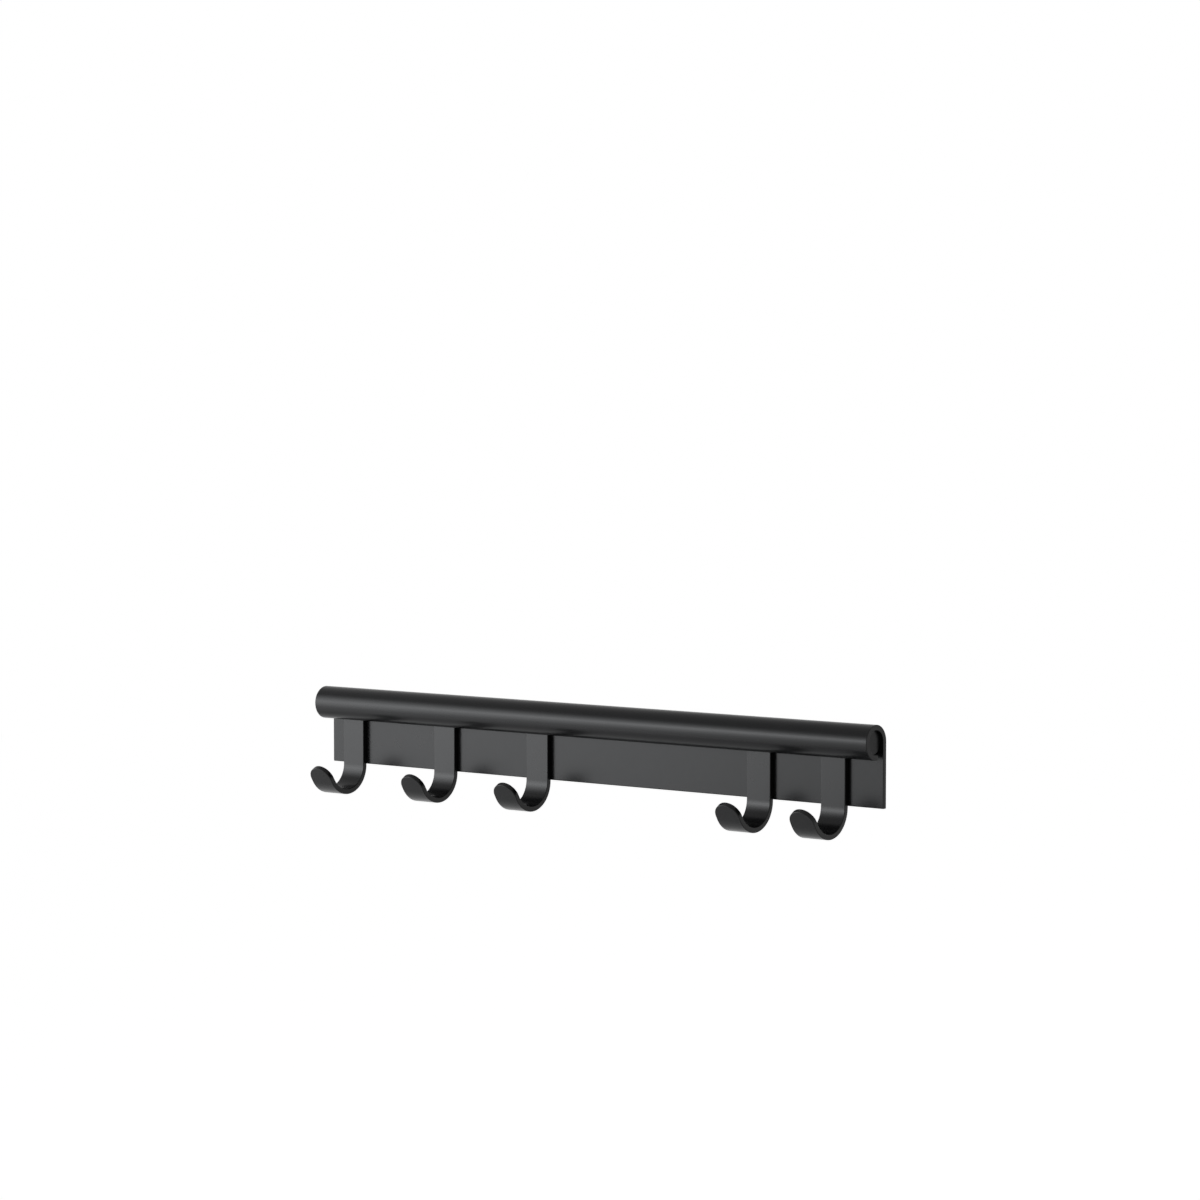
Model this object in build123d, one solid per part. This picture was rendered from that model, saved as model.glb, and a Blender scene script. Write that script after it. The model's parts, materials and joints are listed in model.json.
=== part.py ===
"""Wall rail with five sliding coat hooks.

A coiled extrusion carries five hooks of bent flat bar, and two plugs close its ends.
Millimetres, +Z up: X runs along the rail, the wall is the plane Y = 0 and the front faces -Y.
The origin lies on the wall plane, at mid length and at the height of the screw holes.
"""
import os
from math import asin, degrees

from build123d import *

# Rail: one extruded section, a plate whose upper edge is coiled into a slotted tube
rail_length = 600.0
coil_diameter = 29.0
wall = 4.4
open_face = 40.0  # height of the plate below the coil
section_corner_radius = 0.8
cut_edge_radius = 0.4

# Countersunk screw holes, at mid height of the open face
screw_inset = 128.5  # from each end of the rail
screw_hole_diameter = 5.0
countersink_diameter = 9.6
countersink_angle = 90.0

# End plugs, pressed into the coil
plug_recess = 3.0  # from the rail's end to the plug's face
plug_length = 10.0
plug_wall = 2.0
plug_fit = 0.02  # between the plug and the bore
plug_edge_radius = 0.5

# Hooks: flat bar, curled at the head to run inside the coil and bent to a J below the plate
hook_width = 24.0
hook_thickness = 4.5
hook_edge_radius = 0.6
head_wrap = 250.0  # degrees from the back of the coil, over its top
shank_below_plate = 0.5
bend_inside_radius = 20.3
bend_turn = 148.5
tail_straight = 2.8  # from the bend to the centre of the round tip
running_clearance = 0.3  # between a hook and the rail
slot_play = 2.2  # between a hook's shank and the coil's lip

# Places of the hooks, as gaps from the plug inwards and then from hook to hook
gaps_from_left = (3.6, 84.2, 82.1)
gaps_from_right = (20.9, 50.6)

# The coil's own circle, and the slot that its lip leaves in front of the plate
coil_radius = coil_diameter / 2
bore_radius = coil_radius - wall
plate_foot = -open_face / 2
coil_y = -coil_radius
coil_z = open_face / 2 + coil_radius
slot_front = wall + running_clearance + hook_thickness + slot_play
coil_sweep = 270.0 + degrees(asin(1 - slot_front / coil_radius))


def make_rail():
    outside = CenterArc((coil_y, coil_z), coil_radius, 0, coil_sweep)
    inside = CenterArc((coil_y, coil_z), bore_radius, 0, coil_sweep)
    lip_end = Line(outside @ 1, inside @ 1)
    plate = Polyline(inside @ 0, (-wall, plate_foot), (0, plate_foot), outside @ 0)
    section = make_face(Plane.YZ * (outside + lip_end + inside + plate))
    corners = section.vertices().filter_by(lambda v: v.Z < coil_z - wall)
    section = fillet(corners, section_corner_radius)

    rail = extrude(section, rail_length / 2, both=True)
    rail = fillet(rail.faces().filter_by(Axis.X).edges(), cut_edge_radius)
    for side in (-1, 1):
        hole_mouth = Plane((side * (rail_length / 2 - screw_inset), -wall, 0), z_dir=(0, -1, 0))
        rail -= hole_mouth * CounterSinkHole(
            screw_hole_diameter / 2, countersink_diameter / 2, wall, countersink_angle
        )
    return rail


def make_end_plug(side):
    """A moulded cup whose closed face looks out of the rail's end; side is -1 left, 1 right."""
    radius = bore_radius - plug_fit
    plug = extrude(Circle(radius), plug_length)
    plug = fillet(plug.edges().sort_by(Axis.Z)[-1], plug_edge_radius)
    plug -= extrude(Circle(radius - plug_wall), plug_length - plug_wall)
    inner_end = rail_length / 2 - plug_recess - plug_length
    return Plane((side * inner_end, coil_y, coil_z), z_dir=(side, 0, 0)) * plug


def make_hook():
    """The bar follows its middle line from the head's end to the tip; X = 0 at mid width."""
    head_radius = bore_radius - running_clearance - hook_thickness / 2
    bend_radius = bend_inside_radius + hook_thickness / 2
    shank_y = coil_y + head_radius
    bend_z = plate_foot - shank_below_plate
    head = CenterArc((coil_y, coil_z), head_radius, head_wrap, -head_wrap)
    shank = Line(head @ 1, (shank_y, bend_z))
    bend = CenterArc((shank_y - bend_radius, bend_z), bend_radius, 0, -bend_turn)
    tail = Line(bend @ 1, bend @ 1 + tail_straight * (bend % 1))
    path = Plane.YZ * (head + shank + bend + tail)

    bar = RectangleRounded(hook_width, hook_thickness, hook_edge_radius)
    start = Plane(path @ 0, x_dir=(1, 0, 0), z_dir=path % 0)
    tip = Plane(path @ 1, x_dir=(1, 0, 0), z_dir=path % 1)
    half_bar = bar & Pos(hook_width / 4, 0) * Rectangle(hook_width / 2, hook_thickness)
    hook = sweep(start * bar, path)
    hook += revolve(tip * half_bar, Axis(tip.origin, -tip.y_dir), 180)
    return hook


def hook_places():
    """X of each hook's middle, from left to right."""
    plug_end = rail_length / 2 - plug_recess - plug_length
    left, edge = [], -plug_end
    for gap in gaps_from_left:
        left.append(edge + gap + hook_width / 2)
        edge += gap + hook_width
    right, edge = [], plug_end
    for gap in gaps_from_right:
        right.append(edge - gap - hook_width / 2)
        edge -= gap + hook_width
    return left + right[::-1]


os.makedirs("parts", exist_ok=True)
export_step(make_rail(), "parts/rail.step")
export_step(make_end_plug(-1), "parts/end_plug_left.step")
export_step(make_end_plug(1), "parts/end_plug_right.step")
hook = make_hook()
for number, place in enumerate(hook_places(), 1):
    export_step(Pos(place, 0, 0) * hook, f"parts/hook_{number}.step")
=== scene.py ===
"""Wall hook rack: a rail with a coiled edge, bent-bar hooks that slide in the coil, and two end plugs."""
import json
from math import asin, ceil, copysign, cos, pi, radians, sin, sqrt, tan
from typing import NamedTuple

import bmesh
import bpy
from bpy.props import FloatProperty, FloatVectorProperty, PointerProperty
from mathutils import Euler, Matrix, Vector


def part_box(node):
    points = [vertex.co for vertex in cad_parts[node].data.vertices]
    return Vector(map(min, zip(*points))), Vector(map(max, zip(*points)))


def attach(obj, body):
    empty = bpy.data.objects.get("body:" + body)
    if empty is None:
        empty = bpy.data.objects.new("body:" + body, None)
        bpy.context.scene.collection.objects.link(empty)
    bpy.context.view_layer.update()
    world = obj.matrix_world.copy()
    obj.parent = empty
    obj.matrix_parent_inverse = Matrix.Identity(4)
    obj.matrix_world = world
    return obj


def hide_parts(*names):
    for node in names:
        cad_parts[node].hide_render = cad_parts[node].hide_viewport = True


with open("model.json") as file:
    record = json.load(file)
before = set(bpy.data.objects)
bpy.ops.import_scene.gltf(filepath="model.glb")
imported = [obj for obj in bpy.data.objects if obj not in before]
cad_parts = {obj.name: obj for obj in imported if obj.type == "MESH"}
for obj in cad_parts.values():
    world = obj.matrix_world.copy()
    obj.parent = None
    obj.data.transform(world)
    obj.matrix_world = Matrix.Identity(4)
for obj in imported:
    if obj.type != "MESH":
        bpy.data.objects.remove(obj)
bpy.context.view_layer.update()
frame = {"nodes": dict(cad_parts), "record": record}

bl_info = {
    "name": "Coiled-rail hook rack",
    "version": (1, 0, 0),
    "blender": (4, 5, 0),
    "location": "View3D > Sidebar > Hook rack",
    "description": "Builds a wall rail with sliding bent-bar hooks, its end plugs and a plain studio",
    "category": "Object",
}

# What the frame gives
RAIL_LOW, RAIL_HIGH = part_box("rail")
HOOK_NODES = sorted(node for node in frame["nodes"] if node.startswith("hook_"))
SCREWS = next(m["dims"] for m in frame["record"]["mounts"] if m["name"] == "screw_holes")

COIL_RADIUS = (RAIL_HIGH.y - RAIL_LOW.y) / 2
COIL_CENTRE = Vector((0, RAIL_LOW.y + COIL_RADIUS, RAIL_HIGH.z - COIL_RADIUS))

# A millimetre, and two directions
MM = 0.001
ALONG = Vector((1, 0, 0))
UP = Vector((0, 0, 1))

# How finely the meshes are made
ARC_STEP = radians(3)
CORNER_STEPS = 4
PLUG_STEPS = 72
HOLE_STEPS = 48
WELD = 0.001 * MM
SHARP = radians(35)

# The attribute that marks the corners where the coat is rubbed and painted lighter: partly wear, partly a
# painted highlight on the edges
RUB_AND_SHEEN = "corner_rub_and_sheen"

# The plug's smaller radii, as shares of its wall
SKIRT_RIM = 0.3
CUP_CORNER = 0.5


class RailSizes(bpy.types.PropertyGroup):
    """Sizes of the rail's section and of its screw holes"""

    wall: FloatProperty(
        name="Wall", description="Thickness of the plate and the coil",
        default=4.4 * MM, unit="LENGTH", precision=4)
    slot_front: FloatProperty(
        name="Slot front", description="Distance from the wall plane to the coil's free lip",
        default=11.4 * MM, unit="LENGTH", precision=4)
    corner_radius: FloatProperty(
        name="Section corners", description="Radius on the lip and on the plate's foot",
        default=0.8 * MM, unit="LENGTH", precision=4)
    cut_edge_radius: FloatProperty(
        name="Cut edges", description="Radius on the edges of the sawn ends",
        default=0.4 * MM, unit="LENGTH", precision=4)
    countersink: FloatProperty(
        name="Countersink", description="Diameter of the screw heads' seats",
        default=9.6 * MM, unit="LENGTH", precision=4)
    countersink_angle: FloatProperty(
        name="Countersink angle", description="Full angle of the screw heads' seats",
        default=radians(90), subtype="ANGLE")


class HookSizes(bpy.types.PropertyGroup):
    """Sizes of the bent bar that each hook is made of"""

    thickness: FloatProperty(
        name="Thickness", description="Thickness of the bar",
        default=4.5 * MM, unit="LENGTH", precision=4)
    edge_radius: FloatProperty(
        name="Edges", description="Radius on the bar's long edges and round its tip",
        default=0.6 * MM, unit="LENGTH", precision=4)
    bend_inside: FloatProperty(
        name="Bend inside radius", description="Inside radius of the hook's bend",
        default=20.3 * MM, unit="LENGTH", precision=4)
    bend_turn: FloatProperty(
        name="Bend turn", description="Angle that the bar turns through from the shank to the tail",
        default=radians(148.5), subtype="ANGLE")
    tail: FloatProperty(
        name="Straight tail", description="Straight length from the bend to the middle of the round tip",
        default=2.8 * MM, unit="LENGTH", precision=4)
    head_wrap: FloatProperty(
        name="Head wrap", description="Angle that the head curls through inside the coil",
        default=radians(250), subtype="ANGLE")


class PlugSizes(bpy.types.PropertyGroup):
    """Sizes of the moulded plugs in the coil's ends"""

    wall: FloatProperty(
        name="Wall", description="Thickness of the plug's face and skirt",
        default=2 * MM, unit="LENGTH", precision=4)
    edge_radius: FloatProperty(
        name="Edge", description="Radius round the plug's face",
        default=0.5 * MM, unit="LENGTH", precision=4)


class Finish(bpy.types.PropertyGroup):
    """Colours and roughness of the coats and of the plastic"""

    rail_black: FloatVectorProperty(
        name="Rail coat", description="Colour of the rail's satin coat",
        default=(0.0060, 0.0060, 0.0063), subtype="COLOR", min=0, max=1)
    hook_black: FloatVectorProperty(
        name="Hook coat", description="Colour of the hooks' satin coat",
        default=(0.0060, 0.0060, 0.0063), subtype="COLOR", min=0, max=1)
    plug_black: FloatVectorProperty(
        name="Plug plastic", description="Colour of the end plugs",
        default=(0.0070, 0.0070, 0.0072), subtype="COLOR", min=0, max=1)
    coat_roughness: FloatProperty(
        name="Coat roughness", description="Roughness of the satin coat",
        default=0.256, subtype="FACTOR", min=0, max=1)
    plug_roughness: FloatProperty(
        name="Plug roughness", description="Roughness of the plugs' plastic",
        default=0.28, subtype="FACTOR", min=0, max=1)


class Studio(bpy.types.PropertyGroup):
    """The camera's place and the light round the rack"""

    aim: FloatVectorProperty(
        name="Aim", description="Point that the camera looks at",
        default=(0.0169, -0.0145, 0.1387), subtype="TRANSLATION", unit="LENGTH", precision=4)
    azimuth: FloatProperty(
        name="Azimuth", description="Angle of the camera to the right of the rack's front",
        default=radians(38.443), subtype="ANGLE")
    elevation: FloatProperty(
        name="Elevation", description="Angle of the camera above the level",
        default=radians(3.448), subtype="ANGLE")
    distance: FloatProperty(
        name="Distance", description="From the camera to its aim",
        default=3.0609, unit="LENGTH")
    lens: FloatProperty(
        name="Lens", description="Focal length on a 36 mm sensor",
        default=108.11, unit="CAMERA")
    floor_height: FloatProperty(
        name="Floor", description="Height of the floor against the screw holes",
        default=-1.5, unit="LENGTH")
    box_distance: FloatProperty(
        name="Soft box distance", description="From the soft boxes to the rack",
        default=1.6, unit="LENGTH")
    box_tint: FloatVectorProperty(
        name="Soft box tint", description="Colour of the soft boxes' light",
        default=(0.96, 0.98, 1.0), subtype="COLOR", min=0, max=1)
    ceiling: FloatProperty(
        name="Ceiling", description="Grey level of the studio overhead, as gloss shows it",
        default=0.75, subtype="FACTOR", min=0, max=1)
    fill: FloatProperty(
        name="Fill", description="Grey level of the light from all round",
        default=0.25, subtype="FACTOR", min=0, max=1)


class HookRack(bpy.types.PropertyGroup):
    """All the rack's settings"""

    rail: PointerProperty(type=RailSizes)
    hook: PointerProperty(type=HookSizes)
    plug: PointerProperty(type=PlugSizes)
    finish: PointerProperty(type=Finish)
    studio: PointerProperty(type=Studio)


# Mesh tools

class Pen:
    """Draws an outline across X, run by run, and marks the rounded corners, whose coat is rubbed and
    lighter: partly wear, partly a painted highlight
    """

    def __init__(self, bm, start, heading):
        self.bm = bm
        self.rub_and_sheen = bm.verts.layers.float.get(RUB_AND_SHEEN) or bm.verts.layers.float.new(RUB_AND_SHEEN)
        self.vert = bm.verts.new(start)
        self.heading = heading

    def run(self, length):
        """A straight run"""
        self.vert = bmesh.ops.extrude_vert_indiv(self.bm, verts=[self.vert])["verts"][0]
        bmesh.ops.translate(self.bm, verts=[self.vert], vec=self.heading * length)

    def turn(self, radius, angle, steps):
        """An arc, to the left for a positive angle and to the right for a negative one"""
        centre = self.vert.co + ALONG.cross(self.heading) * copysign(radius, angle)
        swept = bmesh.ops.spin(
            self.bm, geom=[self.vert], cent=centre, axis=ALONG, angle=angle, steps=steps)
        self.vert = verts_of(swept["geom_last"])[0]
        self.heading = Matrix.Rotation(angle, 3, ALONG) @ self.heading

    def corner(self, radius, angle):
        """A small rounded corner, whose coat is rubbed and lighter: partly wear, partly a painted
        highlight
        """
        self.turn(radius, angle, CORNER_STEPS)
        self.bm.verts.ensure_lookup_table()
        for vert in self.bm.verts[-CORNER_STEPS:-1]:
            vert[self.rub_and_sheen] = 1


def verts_of(geom):
    """The vertices in an operator's result"""
    return [part for part in geom if isinstance(part, bmesh.types.BMVert)]


def front_edges(geom):
    """The edges at the front of what an operator has just swept"""
    front = set(verts_of(geom))
    edges = [part for part in geom if isinstance(part, bmesh.types.BMEdge)]
    return [edge for edge in edges if front.issuperset(edge.verts)]


def push(bm, edges, shift):
    """Sweeps edges straight on, and gives the edges at the new end"""
    swept = bmesh.ops.extrude_edge_only(bm, edges=edges)["geom"]
    bmesh.ops.translate(bm, verts=verts_of(swept), vec=shift)
    return front_edges(swept)


def swing(bm, edges, centre, angle):
    """Sweeps edges round an axis along X, and gives the edges at the new end"""
    swept = bmesh.ops.spin(
        bm, geom=edges, cent=centre, axis=ALONG, angle=angle, steps=ceil(angle / ARC_STEP))
    return front_edges(swept["geom_last"])


def round_off(bm, edges, radius):
    """Rounds edges"""
    bmesh.ops.bevel(
        bm, geom=list(edges), offset=radius, offset_type="OFFSET", segments=CORNER_STEPS,
        profile=0.5, affect="EDGES", clamp_overlap=True, material=-1)


def move(bm, matrix):
    """Puts the whole mesh in its place"""
    bmesh.ops.transform(bm, verts=bm.verts, space=Matrix.Identity(4), matrix=matrix)


def new_object(name, bm):
    """An object at the origin that holds the mesh"""
    mesh = bpy.data.meshes.new(name)
    bm.to_mesh(mesh)
    bm.free()
    thing = bpy.data.objects.new(name, mesh)
    bpy.context.scene.collection.objects.link(thing)
    return thing


def drilled(blank, cutter):
    """The blank with the cutter's shapes taken out of it"""
    body = new_object("blank", blank)
    tool = new_object("cutter", cutter)
    cut = body.modifiers.new("holes", "BOOLEAN")
    cut.operation = "DIFFERENCE"
    cut.solver = "EXACT"
    cut.object = tool
    finished = body.evaluated_get(bpy.context.evaluated_depsgraph_get())
    bm = bmesh.new()
    bm.from_mesh(finished.to_mesh())
    finished.to_mesh_clear()
    for thing in (body, tool):
        mesh = thing.data
        bpy.data.objects.remove(thing)
        bpy.data.meshes.remove(mesh)
    return bm


def finished_piece(name, bm, coat):
    """The closed, smooth-shaded piece, with its flats kept flat"""
    bmesh.ops.remove_doubles(bm, verts=bm.verts, dist=WELD)
    bmesh.ops.recalc_face_normals(bm, faces=bm.faces)
    if not all(edge.is_manifold for edge in bm.edges):
        raise RuntimeError(f"{name} is not a closed mesh")
    for face in bm.faces:
        face.smooth = True
    for edge in bm.edges:
        edge.smooth = edge.calc_face_angle() < SHARP
    piece = new_object(name, bm)
    piece.data.materials.append(coat)
    flats = piece.modifiers.new("flat faces", "WEIGHTED_NORMAL")
    flats.keep_sharp = True
    return piece


# Coats

class Grain(NamedTuple):
    """Uneven patches: about how large they are, in metres, and how much finer they break up"""

    size: float
    detail: float


# How the coats vary, and how far each kind of patch goes from the plain coat
TONE = Grain(9 * MM, detail=4)
TONE_SPREAD = 0.2
# Rubbed corners go lighter: partly wear, partly a painted highlight on the edges
RUBBING_AND_SHEEN = Grain(14 * MM, detail=5)
RUBBING_AND_SHEEN_MOST = 0.6
RUBBED_AND_SHEEN_TONE = 2.5
GLOSS = Grain(25 * MM, detail=3)
GLOSS_SPREAD = 0.03
PEEL = Grain(2.2 * MM, detail=1)
FINE_GRAIN = Grain(0.45 * MM, detail=2)


def node_tree(owner):
    """The empty node tree of a material, a world or a lamp"""
    owner.use_nodes = True
    owner.node_tree.nodes.clear()
    return owner.node_tree


def patches(tree, place, grain):
    """Noise with the grain's size and detail"""
    noise = tree.nodes.new("ShaderNodeTexNoise")
    noise.inputs["Scale"].default_value = 1 / grain.size
    noise.inputs["Detail"].default_value = grain.detail
    tree.links.new(place, noise.inputs["Vector"])
    return noise.outputs["Fac"]


def spread(tree, value, low, high, start=0, end=1):
    """The value from start to end, mapped from low to high"""
    mapped = tree.nodes.new("ShaderNodeMapRange")
    mapped.inputs["From Min"].default_value = start
    mapped.inputs["From Max"].default_value = end
    mapped.inputs["To Min"].default_value = low
    mapped.inputs["To Max"].default_value = high
    tree.links.new(value, mapped.inputs["Value"])
    return mapped.outputs["Result"]


def arithmetic(tree, operation, first, second):
    """One step of arithmetic on two values"""
    node = tree.nodes.new("ShaderNodeMath")
    node.operation = operation
    tree.links.new(first, node.inputs[0])
    tree.links.new(second, node.inputs[1])
    return node.outputs["Value"]


def distance_from(tree, place, point):
    """How far the place is from a point"""
    node = tree.nodes.new("ShaderNodeVectorMath")
    node.operation = "DISTANCE"
    node.inputs[1].default_value = point
    tree.links.new(place, node.inputs[0])
    return node.outputs["Value"]


def tinted(colour, times):
    """The colour made darker or paler"""
    return (*(times * part for part in colour), 1)


def blend(tree, share):
    """A mix of two colours by the share"""
    mix = tree.nodes.new("ShaderNodeMix")
    mix.data_type = "RGBA"
    tree.links.new(share, mix.inputs["Factor"])
    return mix


def bump(tree, height, depth, below=None):
    """Relief of the given depth, on top of the relief below it"""
    relief = tree.nodes.new("ShaderNodeBump")
    relief.inputs["Strength"].default_value = 1
    relief.inputs["Distance"].default_value = depth
    tree.links.new(height, relief.inputs["Height"])
    if below:
        tree.links.new(below, relief.inputs["Normal"])
    return relief.outputs["Normal"]


def black_coat(name, colour, roughness, ior, peel_depth, grain_depth):
    """A black finish with a faint peel, a fine grain, and corners that are rubbed a little and lighter:
    partly wear, partly a painted highlight on the edges
    """
    material = bpy.data.materials.new(name)
    tree = node_tree(material)
    shader = tree.nodes.new("ShaderNodeBsdfPrincipled")
    shader.inputs["IOR"].default_value = ior
    output = tree.nodes.new("ShaderNodeOutputMaterial")
    tree.links.new(shader.outputs["BSDF"], output.inputs["Surface"])
    place = tree.nodes.new("ShaderNodeTexCoord").outputs["Object"]

    tone = blend(tree, patches(tree, place, TONE))
    tone.inputs["A"].default_value = tinted(colour, 1 - TONE_SPREAD)
    tone.inputs["B"].default_value = tinted(colour, 1 + TONE_SPREAD)

    # Lighter corners: partly rubbed coat, partly a painted highlight on the edges
    corners = tree.nodes.new("ShaderNodeAttribute")
    corners.attribute_name = RUB_AND_SHEEN
    rubbing_and_sheen = spread(tree, patches(tree, place, RUBBING_AND_SHEEN), 0, RUBBING_AND_SHEEN_MOST)
    rubbed_and_sheen = blend(tree, arithmetic(tree, "MULTIPLY", corners.outputs["Fac"], rubbing_and_sheen))
    rubbed_and_sheen.inputs["B"].default_value = tinted(colour, RUBBED_AND_SHEEN_TONE)
    tree.links.new(tone.outputs["Result"], rubbed_and_sheen.inputs["A"])
    tree.links.new(rubbed_and_sheen.outputs["Result"], shader.inputs["Base Color"])

    gloss = patches(tree, place, GLOSS)
    patchy = spread(tree, gloss, roughness - GLOSS_SPREAD, roughness + GLOSS_SPREAD)
    tree.links.new(patchy, shader.inputs["Roughness"])

    peel = bump(tree, patches(tree, place, PEEL), peel_depth)
    fine = bump(tree, patches(tree, place, FINE_GRAIN), grain_depth, peel)
    tree.links.new(fine, shader.inputs["Normal"])
    return material


def rail_coat(finish):
    """Satin black coat of the rail"""
    return black_coat(
        "rail satin black", finish.rail_black, finish.coat_roughness,
        ior=1.251, peel_depth=0.001 * MM, grain_depth=0.001 * MM)


def hook_coat(finish):
    """Satin black coat of the hooks"""
    return black_coat(
        "hook satin black", finish.hook_black, finish.coat_roughness,
        ior=1.276, peel_depth=0.001 * MM, grain_depth=0.001 * MM)


def plug_plastic(finish):
    """Matt black plastic of the end plugs"""
    return black_coat(
        "plug matt black", finish.plug_black, finish.plug_roughness,
        ior=1.235, peel_depth=0.001 * MM, grain_depth=0.002 * MM)


# Pieces

def draw_rail_section(bm, rail):
    """The rail's outline at its left end: up the plate's back, round the coil, and back inside"""
    corner = rail.corner_radius
    bore = COIL_RADIUS - rail.wall
    sweep = 1.5 * pi + asin(1 - rail.slot_front / COIL_RADIUS)
    outer_lead = asin(corner / (COIL_RADIUS - corner))
    inner_lead = asin(corner / (bore + corner))
    lip_outer = sqrt((COIL_RADIUS - corner) ** 2 - corner ** 2)
    lip_inner = sqrt((bore + corner) ** 2 - corner ** 2)
    plate = COIL_CENTRE.z - RAIL_LOW.z - corner
    coil_steps = ceil(sweep / ARC_STEP)

    pen = Pen(bm, (RAIL_LOW.x, RAIL_HIGH.y, RAIL_LOW.z + corner), UP)
    pen.run(plate)
    pen.turn(COIL_RADIUS, sweep - outer_lead, coil_steps)
    pen.corner(corner, pi / 2 + outer_lead)
    pen.run(lip_outer - lip_inner)
    pen.corner(corner, pi / 2 - inner_lead)
    pen.turn(bore, inner_lead - sweep, coil_steps)
    pen.run(plate)
    pen.corner(corner, pi / 2)
    pen.run(rail.wall - 2 * corner)
    pen.corner(corner, pi / 2)
    bmesh.ops.remove_doubles(bm, verts=bm.verts, dist=WELD)


def screw_hole_cutter(rail):
    """The shapes of both countersunk screw holes, a little longer than the plate is thick"""
    past = MM
    hole = SCREWS["hole_r_mm"] * MM
    flare = tan(rail.countersink_angle / 2)
    seat_depth = (rail.countersink / 2 - hole) / flare
    back = RAIL_HIGH.y
    front = back - rail.wall
    profile = (
        (0, back + past),
        (hole, back + past),
        (hole, front + seat_depth),
        (rail.countersink / 2 + past * flare, front - past),
        (0, front - past),
    )
    bm = bmesh.new()
    for side in (-1, 1):
        place = Vector((side * SCREWS["spacing_x_mm"] / 2 * MM, 0, 0))
        points = [bm.verts.new(place + Vector((0, y, radius))) for radius, y in profile]
        edges = [bm.edges.new(pair) for pair in zip(points, points[1:])]
        bmesh.ops.spin(
            bm, geom=edges, cent=place, axis=(0, 1, 0), angle=2 * pi, steps=HOLE_STEPS, use_merge=True)
    bmesh.ops.remove_doubles(bm, verts=bm.verts, dist=WELD)
    bmesh.ops.recalc_face_normals(bm, faces=bm.faces)
    return bm


def make_rail(settings):
    """The extruded rail, sawn to length and drilled"""
    rail = settings.rail
    bm = bmesh.new()
    draw_rail_section(bm, rail)
    bmesh.ops.edgeloop_fill(bm, edges=bm.edges)
    drawn = bmesh.ops.extrude_face_region(bm, geom=bm.faces[:])["geom"]
    bmesh.ops.translate(bm, verts=verts_of(drawn), vec=ALONG * (RAIL_HIGH.x - RAIL_LOW.x))
    # The sawn ends are the only faces with more than four corners
    sawn = {edge for face in bm.faces if len(face.verts) > 4 for edge in face.edges}
    round_off(bm, sawn, rail.cut_edge_radius)
    bmesh.ops.recalc_face_normals(bm, faces=bm.faces)
    body = drilled(bm, screw_hole_cutter(rail))
    piece = finished_piece("coiled_rail", body, rail_coat(settings.finish))
    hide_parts("rail")
    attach(piece, "rail")


def make_end_plug(side, way, settings, plastic):
    """A moulded cup that closes one end of the coil, with its face outwards"""
    plug = settings.plug
    node = f"end_plug_{side}"
    low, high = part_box(node)
    radius = (high.z - low.z) / 2
    depth = high.x - low.x
    rim = SKIRT_RIM * plug.wall
    inner = CUP_CORNER * plug.wall

    bm = bmesh.new()
    pen = Pen(bm, (0, 0, 0), Vector((0, 1, 0)))
    pen.run(radius - plug.edge_radius)
    pen.corner(plug.edge_radius, -pi / 2)
    pen.run(depth - plug.edge_radius - rim)
    pen.corner(rim, -pi / 2)
    pen.run(plug.wall - 2 * rim)
    pen.corner(rim, -pi / 2)
    pen.run(depth - plug.wall - rim - inner)
    pen.turn(inner, pi / 2, CORNER_STEPS)
    pen.run(radius - plug.wall - inner)
    bmesh.ops.spin(
        bm, geom=bm.edges[:], cent=(0, 0, 0), axis=UP, angle=2 * pi, steps=PLUG_STEPS, use_merge=True)
    face = Vector((high.x if way > 0 else low.x, COIL_CENTRE.y, COIL_CENTRE.z))
    move(bm, Matrix.Translation(face) @ Matrix.Rotation(way * pi / 2, 4, "Y"))
    piece = finished_piece(f"moulded_plug_{side}", bm, plastic)
    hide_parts(node)
    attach(piece, "rail")


def make_hook(node, settings, coat):
    """A hook bent from flat bar: the round tip, the tail, the bend, the shank and the curled head"""
    hook = settings.hook
    low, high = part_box(node)
    half_width = (high.x - low.x) / 2
    half_bar = hook.thickness / 2
    edge_radius = hook.edge_radius
    middle = (low.x + high.x) / 2
    shank_y = high.y - half_bar
    bend_radius = hook.bend_inside + half_bar
    bend_centre = Vector((middle, shank_y - bend_radius, low.z + bend_radius + half_bar))
    head_centre = Vector((middle, COIL_CENTRE.y, COIL_CENTRE.z))
    tail_way = Vector((0, -sin(hook.bend_turn), -cos(hook.bend_turn)))
    bend_end = bend_centre + Vector((0, cos(hook.bend_turn), -sin(hook.bend_turn))) * bend_radius

    bm = bmesh.new()
    pen = Pen(bm, (0, 0, half_bar), Vector((0, 1, 0)))
    pen.run(half_width - edge_radius)
    pen.corner(edge_radius, -pi / 2)
    pen.run(hook.thickness - 2 * edge_radius)
    pen.corner(edge_radius, -pi / 2)
    pen.run(half_width - edge_radius)
    bmesh.ops.spin(
        bm, geom=bm.edges[:], cent=(0, 0, 0), axis=UP, angle=-pi, steps=ceil(pi / ARC_STEP))
    bmesh.ops.remove_doubles(bm, verts=bm.verts, dist=WELD)
    turned = Matrix((tail_way, ALONG, tail_way.cross(ALONG))).transposed()
    move(bm, Matrix.Translation(bend_end + tail_way * hook.tail) @ turned.to_4x4())

    bar = [edge for edge in bm.edges if edge.is_boundary]
    bar = push(bm, bar, -tail_way * hook.tail)
    bar = swing(bm, bar, bend_centre, hook.bend_turn)
    bar = push(bm, bar, UP * (head_centre.z - bend_centre.z))
    bar = swing(bm, bar, head_centre, hook.head_wrap)
    bmesh.ops.edgeloop_fill(bm, edges=bar)
    round_off(bm, bar, edge_radius)
    piece = finished_piece(f"bent_bar_{node}", bm, coat)
    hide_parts(node)
    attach(piece, node)


# Studio

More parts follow.
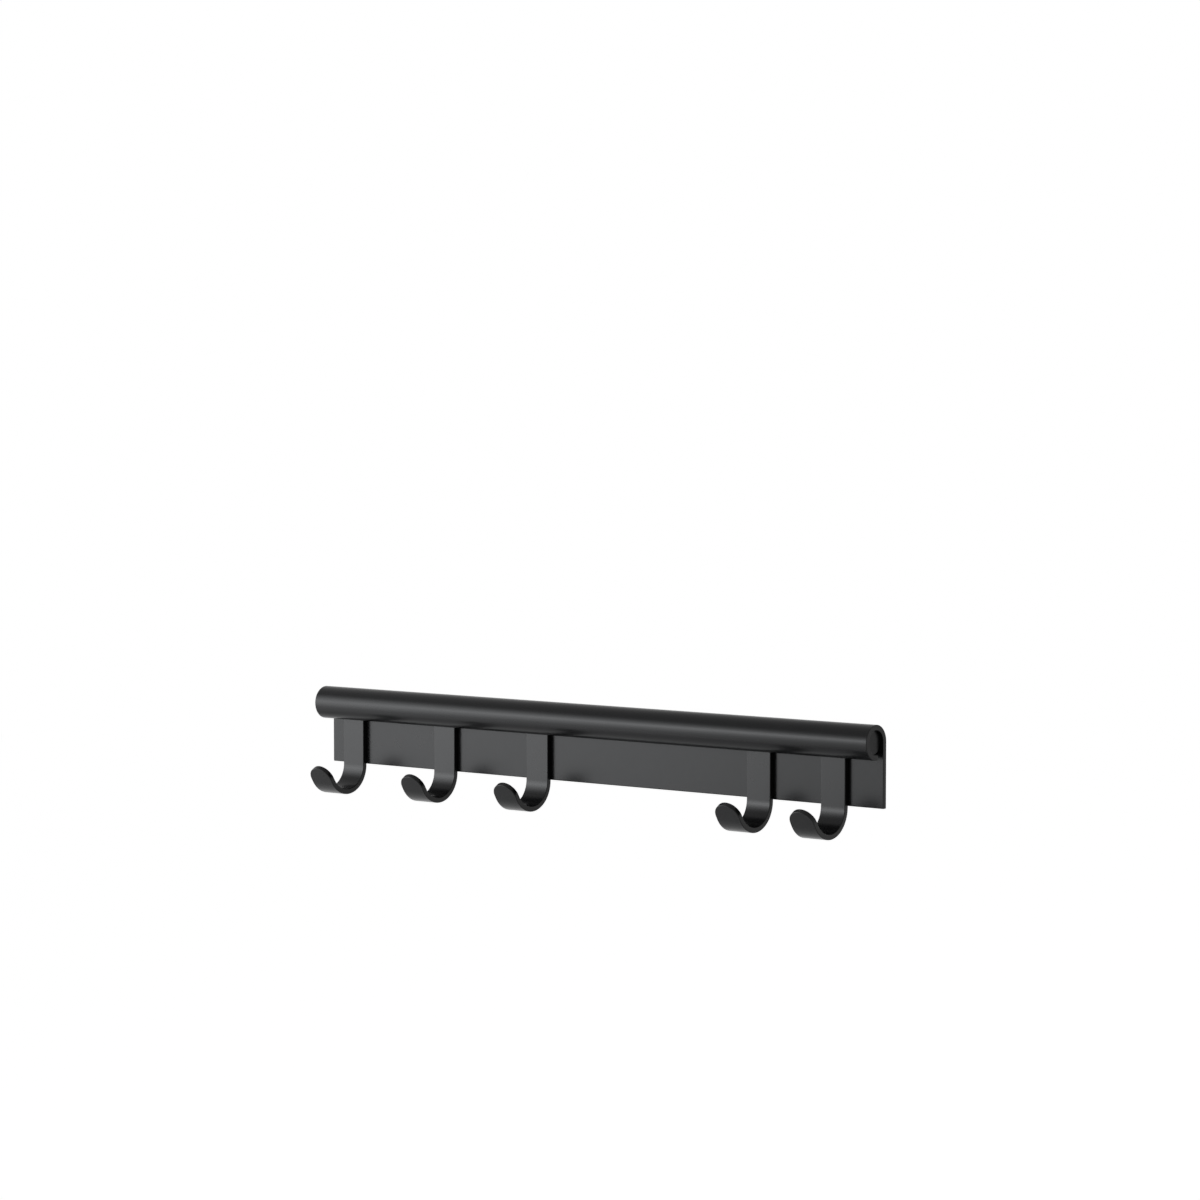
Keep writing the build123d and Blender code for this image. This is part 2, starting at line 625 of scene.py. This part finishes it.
class SoftBox(NamedTuple):
    """An oval soft box: where it stands, seen from the rack, its size, and its middle's brightness"""

    name: str
    azimuth: float
    elevation: float
    width: float
    height: float
    brightness: float


SOFT_BOXES = (
    SoftBox(
        "upper_soft_box", azimuth=radians(-48.3), elevation=radians(7.9),
        width=3.3, height=1.91, brightness=5.15),
    SoftBox(
        "lower_soft_box", azimuth=radians(-43.5), elevation=radians(-10.9),
        width=3.5, height=2.88, brightness=2.05),
    SoftBox(
        "front_soft_box", azimuth=radians(-21.0), elevation=radians(8.4),
        width=2.43, height=0.64, brightness=5.05),
)

# The floor's half width and paint, and its glow to the eye and to gloss, under the rack and far off; the
# dimmer glow under the rack is a painted shade
FLOOR_REACH = 12
FLOOR_GREY = 0.8
GLOW_UNDER_PAINTED_SHADE = 0.3
GLOW_FAR = 0.8

# How far from the floor's middle the glow starts to rise, and where it has risen
UNDER_TO = 0.6
FAR_FROM = 2.4

# The elevations between which the studio turns from white to its grey overhead
WHITE_TO = radians(8)
GREY_FROM = radians(34)

# Width of the camera's sensor, in millimetres
SENSOR = 36

# A soft box's middle, and its rim's distance from there, in the lamp's own coordinates
BOX_MIDDLE = (0.5, 0.5, 0)
BOX_RIM = 0.5


def seen_rays(tree):
    """1 for the rays that show the background: seen straight, in gloss or through glass"""
    path = tree.nodes.new("ShaderNodeLightPath")
    seen = arithmetic(tree, "MAXIMUM", path.outputs["Is Camera Ray"], path.outputs["Is Glossy Ray"])
    return arithmetic(tree, "MAXIMUM", seen, path.outputs["Is Transmission Ray"])


def white_light(tree):
    """White light from all round, whose strength is still to be set"""
    light = tree.nodes.new("ShaderNodeBackground")
    light.inputs["Color"].default_value = (1, 1, 1, 1)
    return light


def make_world(studio):
    """White to the eye and to gloss, darker overhead, and an even grey fill for all else"""
    world = bpy.data.worlds.new("studio")
    tree = node_tree(world)
    fill = white_light(tree)
    fill.inputs["Strength"].default_value = studio.fill
    shown = white_light(tree)
    way = tree.nodes.new("ShaderNodeSeparateXYZ")
    tree.links.new(tree.nodes.new("ShaderNodeTexCoord").outputs["Generated"], way.inputs["Vector"])
    overhead = spread(tree, way.outputs["Z"], 1, studio.ceiling, sin(WHITE_TO), sin(GREY_FROM))
    tree.links.new(overhead, shown.inputs["Strength"])
    mix = tree.nodes.new("ShaderNodeMixShader")
    tree.links.new(seen_rays(tree), mix.inputs["Fac"])
    tree.links.new(fill.outputs["Background"], mix.inputs[1])
    tree.links.new(shown.outputs["Background"], mix.inputs[2])
    output = tree.nodes.new("ShaderNodeOutputWorld")
    tree.links.new(mix.outputs["Shader"], output.inputs["Surface"])
    bpy.context.scene.world = world


def make_floor(studio):
    """A pale floor that keeps the rack's soft shadow, with its glow dimmed under the rack as a painted
    shade
    """
    under_rack = Vector((0, 0, studio.floor_height))
    bm = bmesh.new()
    bmesh.ops.create_grid(
        bm, x_segments=1, y_segments=1, size=FLOOR_REACH, matrix=Matrix.Translation(under_rack))
    floor = new_object("floor", bm)
    material = bpy.data.materials.new("pale floor")
    tree = node_tree(material)
    paint = tree.nodes.new("ShaderNodeBsdfDiffuse")
    paint.inputs["Color"].default_value = (FLOOR_GREY, FLOOR_GREY, FLOOR_GREY, 1)
    place = tree.nodes.new("ShaderNodeTexCoord").outputs["Object"]
    # The glow is dimmer near the middle, under the rack: a painted shade
    reach = distance_from(tree, place, under_rack)
    glow_with_painted_shade = spread(tree, reach, GLOW_UNDER_PAINTED_SHADE, GLOW_FAR, UNDER_TO, FAR_FROM)
    glow = tree.nodes.new("ShaderNodeEmission")
    tree.links.new(arithmetic(tree, "MULTIPLY", glow_with_painted_shade, seen_rays(tree)), glow.inputs["Strength"])
    both = tree.nodes.new("ShaderNodeAddShader")
    tree.links.new(paint.outputs["BSDF"], both.inputs[0])
    tree.links.new(glow.outputs["Emission"], both.inputs[1])
    output = tree.nodes.new("ShaderNodeOutputMaterial")
    tree.links.new(both.outputs["Shader"], output.inputs["Surface"])
    floor.data.materials.append(material)


def facing(azimuth, elevation):
    """The turn of a camera or lamp that looks at the rack from that side"""
    return Euler((pi / 2 - elevation, 0, azimuth))


def away(azimuth, elevation, distance):
    """The step from the rack's front to a point that far off, at that angle"""
    level = distance * cos(elevation)
    return Vector((level * sin(azimuth), -level * cos(azimuth), distance * sin(elevation)))


def make_soft_box(box, studio):
    """An oval soft box that fades from its middle to its rim; a brightness of 1 is white"""
    lamp = bpy.data.lights.new(box.name, "AREA")
    lamp.shape = "ELLIPSE"
    lamp.size = box.width
    lamp.size_y = box.height
    oval_area = pi * box.width * box.height / 4
    lamp.energy = box.brightness * pi * oval_area
    lamp.color = studio.box_tint
    tree = node_tree(lamp)
    across = tree.nodes.new("ShaderNodeNewGeometry").outputs["Parametric"]
    fade = spread(tree, distance_from(tree, across, BOX_MIDDLE), 1, 0, 0, BOX_RIM)
    fade.node.interpolation_type = "SMOOTHSTEP"
    glow = tree.nodes.new("ShaderNodeEmission")
    tree.links.new(fade, glow.inputs["Strength"])
    output = tree.nodes.new("ShaderNodeOutputLight")
    tree.links.new(glow.outputs["Emission"], output.inputs["Surface"])
    stand = bpy.data.objects.new(box.name, lamp)
    stand.location = COIL_CENTRE + away(box.azimuth, box.elevation, studio.box_distance)
    stand.rotation_euler = facing(box.azimuth, box.elevation)
    stand.visible_camera = False
    bpy.context.scene.collection.objects.link(stand)


def make_camera(studio):
    """The camera, to the right of the front and a little above the rack"""
    camera = bpy.data.cameras.new("camera")
    camera.lens = studio.lens
    camera.sensor_width = SENSOR
    camera.sensor_fit = "HORIZONTAL"
    stand = bpy.data.objects.new("camera", camera)
    stand.location = Vector(studio.aim) + away(studio.azimuth, studio.elevation, studio.distance)
    stand.rotation_euler = facing(studio.azimuth, studio.elevation)
    bpy.context.scene.collection.objects.link(stand)
    bpy.context.scene.camera = stand


# Operators and panel

class HOOK_RACK_OT_rail(bpy.types.Operator):
    """Builds the rail with its coil, lip and screw holes"""

    bl_idname = "hook_rack.rail"
    bl_label = "Rail"

    def execute(self, context):
        make_rail(context.scene.hook_rack)
        return {"FINISHED"}


class HOOK_RACK_OT_end_plugs(bpy.types.Operator):
    """Builds the moulded plugs in both ends of the coil"""

    bl_idname = "hook_rack.end_plugs"
    bl_label = "End plugs"

    def execute(self, context):
        settings = context.scene.hook_rack
        plastic = plug_plastic(settings.finish)
        for side, way in (("left", -1), ("right", 1)):
            make_end_plug(side, way, settings, plastic)
        return {"FINISHED"}


class HOOK_RACK_OT_hooks(bpy.types.Operator):
    """Builds the hooks, each bent from one flat bar"""

    bl_idname = "hook_rack.hooks"
    bl_label = "Hooks"

    def execute(self, context):
        settings = context.scene.hook_rack
        coat = hook_coat(settings.finish)
        for node in HOOK_NODES:
            make_hook(node, settings, coat)
        return {"FINISHED"}


class HOOK_RACK_OT_studio(bpy.types.Operator):
    """Sets up the floor, the light and the camera"""

    bl_idname = "hook_rack.studio"
    bl_label = "Studio"

    def execute(self, context):
        studio = context.scene.hook_rack.studio
        context.scene.view_settings.view_transform = "Standard"
        make_world(studio)
        make_floor(studio)
        for box in SOFT_BOXES:
            make_soft_box(box, studio)
        make_camera(studio)
        return {"FINISHED"}


class HOOK_RACK_PT_panel(bpy.types.Panel):
    """Lists the rack's settings and the steps that build it"""

    bl_idname = "HOOK_RACK_PT_panel"
    bl_label = "Hook rack"
    bl_space_type = "VIEW_3D"
    bl_region_type = "UI"
    bl_category = "Hook rack"

    def draw(self, context):
        settings = context.scene.hook_rack
        for step in STEPS:
            self.layout.operator(step.bl_idname)
        for group in (settings.rail, settings.hook, settings.plug, settings.finish, settings.studio):
            box = self.layout.box()
            for key in group.bl_rna.properties.keys():
                if key not in {"rna_type", "name"}:
                    box.prop(group, key)


STEPS = (HOOK_RACK_OT_rail, HOOK_RACK_OT_end_plugs, HOOK_RACK_OT_hooks, HOOK_RACK_OT_studio)
CLASSES = (RailSizes, HookSizes, PlugSizes, Finish, Studio, HookRack, *STEPS, HOOK_RACK_PT_panel)


def register():
    for cls in CLASSES:
        bpy.utils.register_class(cls)
    bpy.types.Scene.hook_rack = PointerProperty(type=HookRack)


def unregister():
    del bpy.types.Scene.hook_rack
    for cls in reversed(CLASSES):
        bpy.utils.unregister_class(cls)


def main():
    register()
    bpy.ops.hook_rack.rail()
    bpy.ops.hook_rack.end_plugs()
    bpy.ops.hook_rack.hooks()
    bpy.ops.hook_rack.studio()


if __name__ == "__main__":
    main()
